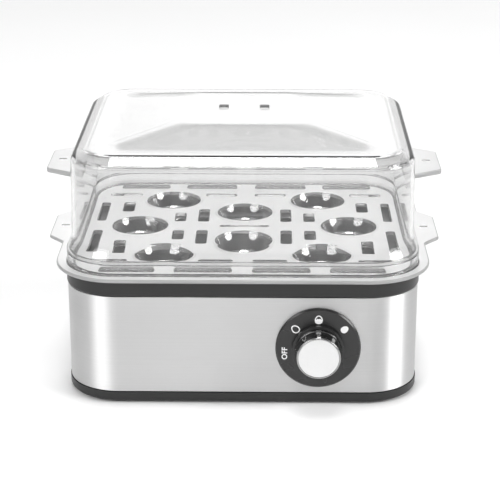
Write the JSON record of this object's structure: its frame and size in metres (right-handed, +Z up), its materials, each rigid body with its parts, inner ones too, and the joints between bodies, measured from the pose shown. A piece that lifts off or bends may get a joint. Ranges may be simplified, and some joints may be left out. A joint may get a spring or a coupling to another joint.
{
  "type": "electric egg cooker",
  "caption": "Egg cooker with a steel-banded base, rotary control knob, lift-out clear tray with egg cups and a clear lift-off lid with side tabs.",
  "frame": {"origin": "on the surface the feet stand on, under the middle of the housing", "axes": "+X to the right seen from the front, +Y to the rear, +Z up; the control knob faces -Y"},
  "size_m": [0.243, 0.202, 0.159],
  "materials": {
    "brushed_band": "fine brushed",
    "black_plastic": "satin",
    "screw_steel": "zinc plated",
    "foot_rubber": "matt",
    "pan_steel": "satin pressed sheet",
    "seal_rubber": "silicone",
    "element_sheath": "annealed sheath",
    "clamp_steel": "zinc plated sheet",
    "thermostat_case": "phenolic",
    "fuse_case": "lacquered",
    "regulator_case": "phenolic",
    "dial_plastic": "satin",
    "gland_rubber": "matt",
    "terminal_plastic": "moulded",
    "buzzer_case": "moulded",
    "knob_plastic": "satin",
    "knob_chrome": "bright plated",
    "pointer_white": "filled",
    "clear_tray": "clear moulded plastic",
    "clear_lid": "clear moulded plastic"
  },
  "bodies": {
    "base": {"bottom_cover": "black_plastic", "housing_band": "brushed_band", "top_ring": "black_plastic", "cover_screws": "screw_steel", "foot_rear_right": "foot_rubber", "foot_rear_left": "foot_rubber", "foot_front_left": "foot_rubber", "foot_front_right": "foot_rubber", "heating_plate": "pan_steel", "pan_seal": "seal_rubber", "heating_element": "element_sheath", "element_clamp": "clamp_steel", "clamp_nuts": "screw_steel", "thermostat": "thermostat_case", "thermostat_bracket": "clamp_steel", "thermal_fuse": "fuse_case", "fuse_clip": "clamp_steel", "control_regulator": "regulator_case", "dial_plate": "dial_plastic", "bush_nut": "screw_steel", "cord_gland": "gland_rubber", "terminal_block": "terminal_plastic", "signal_buzzer": "buzzer_case"},
    "knob": {"control_shaft": "screw_steel", "knob_spring": "clamp_steel", "knob_core": "knob_plastic", "knob_cap": "knob_chrome", "knob_pointer": "pointer_white"},
    "tray": {"egg_tray": "clear_tray"},
    "lid": {"lid": "clear_lid"}
  },
  "joints": [
    {"name": "knob_turn", "type": "hinge", "parent": "base", "child": "knob", "pos_m": [0.0451, -0.1, 0.037], "axis": [0, -1, 0], "range_deg": [-48, 96]},
    {"name": "tray_lift", "type": "slide", "parent": "base", "child": "tray", "axis": [0, 0, 1], "range_m": [0, 0.1]},
    {"name": "lid_lift", "type": "slide", "parent": "tray", "child": "lid", "axis": [0, 0, 1], "range_m": [0, 0.12]}
  ]
}
